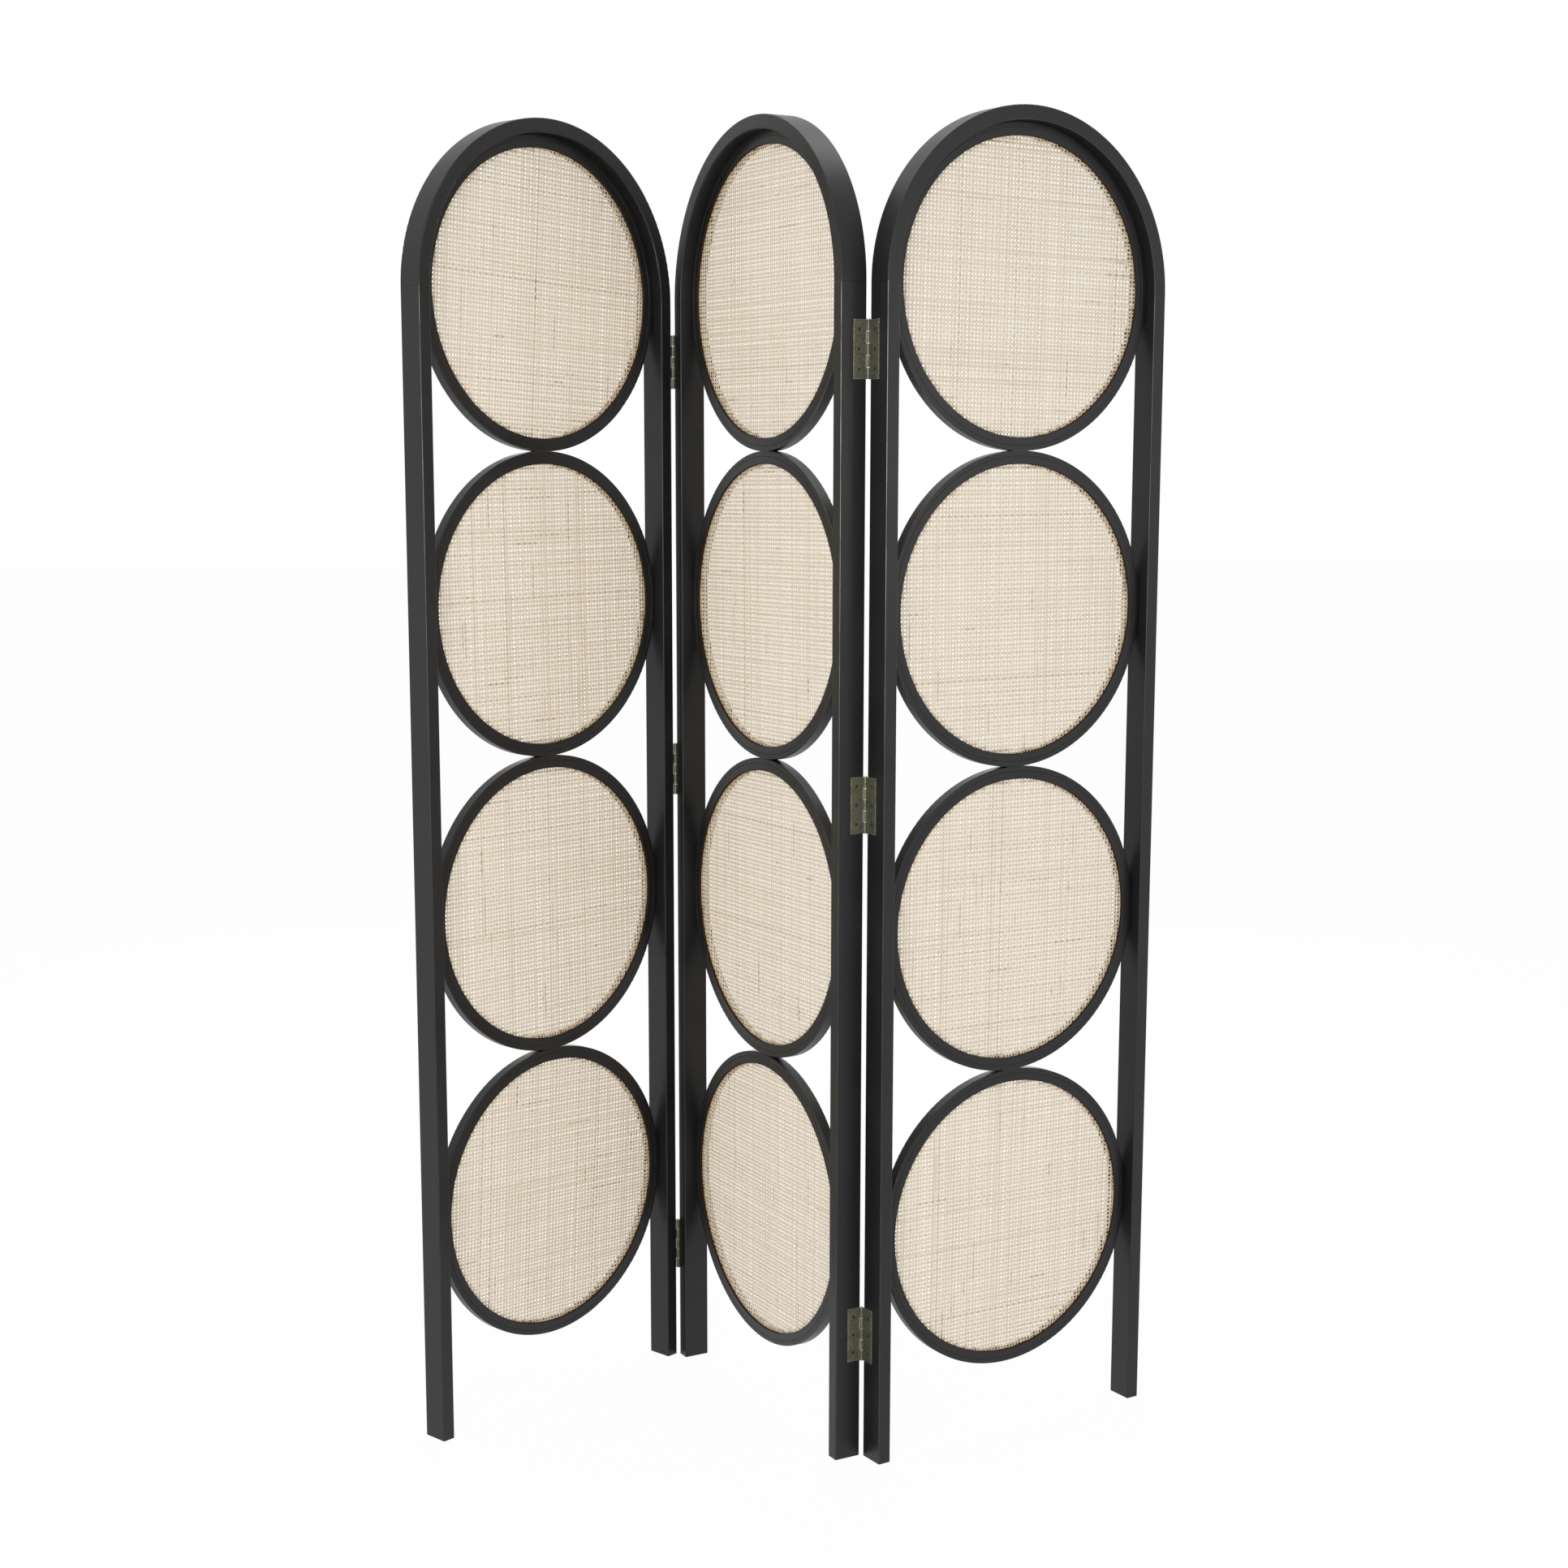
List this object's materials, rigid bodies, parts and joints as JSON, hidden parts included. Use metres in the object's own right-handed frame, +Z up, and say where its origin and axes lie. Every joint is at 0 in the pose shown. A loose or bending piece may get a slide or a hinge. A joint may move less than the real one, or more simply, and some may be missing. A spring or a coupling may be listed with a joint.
{
  "type": "folding screen",
  "caption": "Free-standing folding partition screen: arched wooden panels with stacked hoops that hold woven cane discs, joined by butt hinges so that it folds flat.",
  "frame": {"origin": "on the floor, below the middle of the standing screen's box, in the zigzag in which it is pictured", "axes": "+Z up, +X across the spread of the three panels from the left one to the right one, +Y from the pictured front towards the back"},
  "size_m": [1.0252, 0.4864, 1.7999],
  "materials": {
    "black_paint": "satin black paint on wood, edges slightly worn",
    "cane_webbing": "natural rattan strands in an open square weave",
    "bare_wood": "bare hardwood dowel",
    "aged_brass": "aged brass, brown patina, scratched",
    "dark_screws": "aged brass, darkened",
    "hinge_pins": "aged brass"
  },
  "bodies": {
    "middle_panel": {"left_fold_bottom_leaf_middle": "aged_brass", "left_fold_middle_leaf_middle": "aged_brass", "left_fold_pins": "hinge_pins", "left_fold_screws_middle": "dark_screws", "left_fold_top_leaf_middle": "aged_brass", "middle_arch": "black_paint", "middle_dowels": "bare_wood", "middle_hoop_1": "black_paint", "middle_hoop_2": "black_paint", "middle_hoop_3": "black_paint", "middle_hoop_4": "black_paint", "middle_left_post": "black_paint", "middle_retaining_rings": "black_paint", "middle_right_post": "black_paint", "middle_webbing_1": "cane_webbing", "middle_webbing_2": "cane_webbing", "middle_webbing_3": "cane_webbing", "middle_webbing_4": "cane_webbing", "right_fold_bottom_leaf_middle": "aged_brass", "right_fold_middle_leaf_middle": "aged_brass", "right_fold_pins": "hinge_pins", "right_fold_screws_middle": "dark_screws", "right_fold_top_leaf_middle": "aged_brass"},
    "left_panel": {"left_arch": "black_paint", "left_dowels": "bare_wood", "left_fold_bottom_leaf_left": "aged_brass", "left_fold_middle_leaf_left": "aged_brass", "left_fold_screws_left": "dark_screws", "left_fold_top_leaf_left": "aged_brass", "left_hoop_1": "black_paint", "left_hoop_2": "black_paint", "left_hoop_3": "black_paint", "left_hoop_4": "black_paint", "left_left_post": "black_paint", "left_retaining_rings": "black_paint", "left_right_post": "black_paint", "left_webbing_1": "cane_webbing", "left_webbing_2": "cane_webbing", "left_webbing_3": "cane_webbing", "left_webbing_4": "cane_webbing"},
    "right_panel": {"right_arch": "black_paint", "right_dowels": "bare_wood", "right_fold_bottom_leaf_right": "aged_brass", "right_fold_middle_leaf_right": "aged_brass", "right_fold_screws_right": "dark_screws", "right_fold_top_leaf_right": "aged_brass", "right_hoop_1": "black_paint", "right_hoop_2": "black_paint", "right_hoop_3": "black_paint", "right_hoop_4": "black_paint", "right_left_post": "black_paint", "right_retaining_rings": "black_paint", "right_right_post": "black_paint", "right_webbing_1": "cane_webbing", "right_webbing_2": "cane_webbing", "right_webbing_3": "cane_webbing", "right_webbing_4": "cane_webbing"}
  },
  "joints": [
    {"name": "left_fold", "type": "hinge", "parent": "middle_panel", "child": "left_panel", "pos_m": [-0.12468, 0.21468, 0.9], "axis": [0, 0, 1], "range_deg": [-108, 72]},
    {"name": "right_fold", "type": "hinge", "parent": "middle_panel", "child": "right_panel", "pos_m": [0.07202, -0.20879, 0.9], "axis": [0, 0, 1], "range_deg": [-93, 87]}
  ]
}
